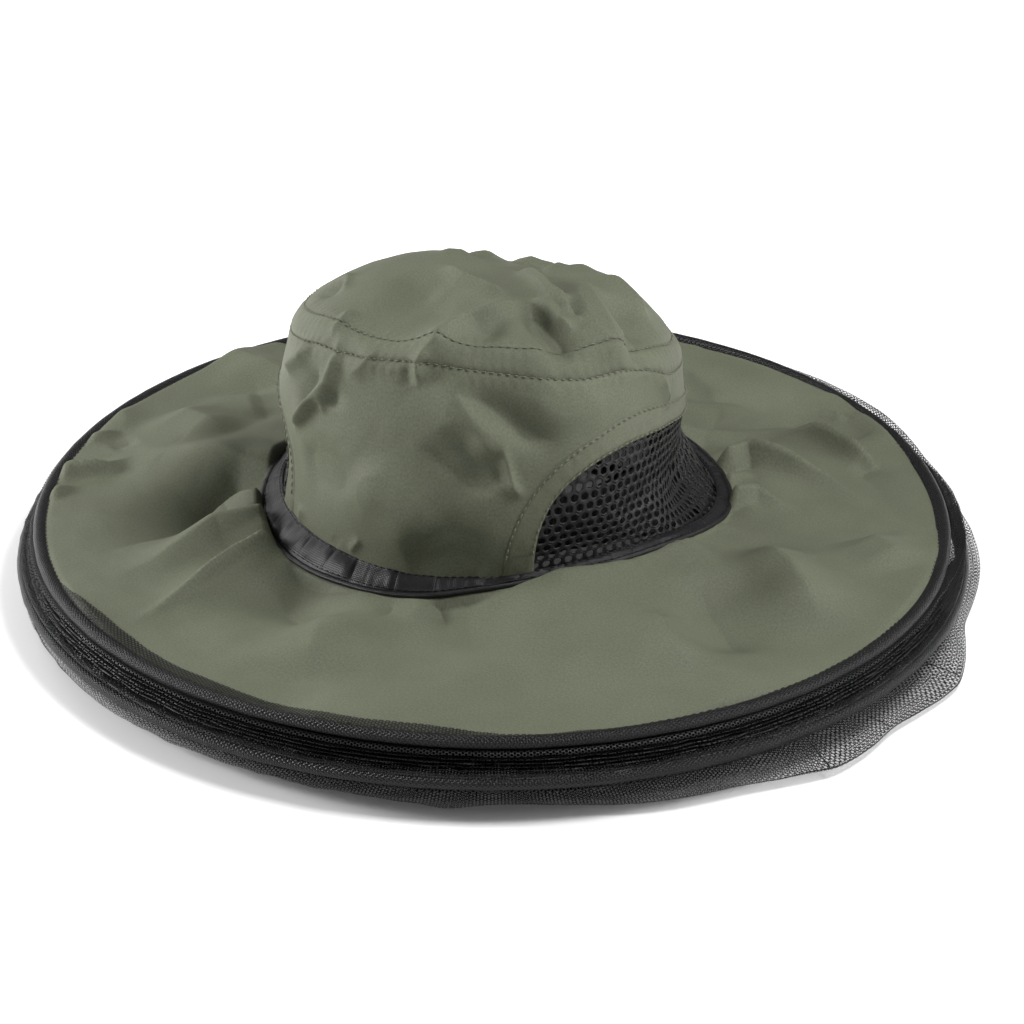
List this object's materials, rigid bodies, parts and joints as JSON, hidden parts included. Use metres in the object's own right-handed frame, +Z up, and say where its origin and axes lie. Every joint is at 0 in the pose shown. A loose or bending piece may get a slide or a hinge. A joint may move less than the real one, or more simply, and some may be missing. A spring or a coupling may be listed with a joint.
{
  "type": "beekeeping veil",
  "caption": "Soft bucket hat with mesh vents and a wide hooped brim, carrying a black net veil with a lower hoop and an elastic neck hem, folded flat under the brim.",
  "frame": {"origin": "on the floor under the axis of the hat, at the middle of the neck hem's foot", "axes": "+Z up through the crown, -Y towards the front of the hat, +X to the wearer's left"},
  "size_m": [0.4459, 0.446, 0.15],
  "materials": {
    "olive_cloth": "matte woven cotton twill",
    "olive_facing": "matte woven tape",
    "spacer_mesh": "open black spacer mesh",
    "satin_tape": "satin woven tape",
    "piping": "corded piping",
    "sweatband_tape": "satin folded tape",
    "binding_tape": "woven binding",
    "net": "knitted hexagonal netting",
    "elastic": "braided elastic",
    "spring_steel": "drawn spring steel",
    "crimp": "plated"
  },
  "bodies": {
    "neck_cuff": {"neck_hem": "binding_tape", "neck_elastic": "elastic", "veil_lower_net": "net"},
    "veil_hoop": {"lower_binding": "binding_tape", "lower_hoop": "spring_steel", "lower_hoop_sleeve": "crimp", "veil_upper_net": "net"},
    "hat": {"crown_tip": "olive_cloth", "crown_band": "olive_cloth", "crown_front_panel": "olive_cloth", "crown_back_panel": "olive_cloth", "vent_mesh_left": "spacer_mesh", "vent_mesh_right": "spacer_mesh", "vent_facing_left": "olive_facing", "vent_facing_right": "olive_facing", "crown_base_tape": "satin_tape", "crown_piping": "piping", "sweatband": "sweatband_tape", "sweatband_elastic": "elastic", "brim_panel": "olive_cloth", "brim_binding": "binding_tape", "brim_hoop": "spring_steel", "brim_hoop_sleeve": "crimp", "net_selvage": "net"}
  },
  "joints": [
    {"name": "hoop_lift", "type": "slide", "parent": "neck_cuff", "child": "veil_hoop", "axis": [0, 0, 1], "range_m": [0, 0.1], "deforming": ["veil_lower_net"]},
    {"name": "hat_lift", "type": "slide", "parent": "veil_hoop", "child": "hat", "axis": [0, 0, 1], "range_m": [0, 0.22], "deforming": ["veil_upper_net"]}
  ]
}
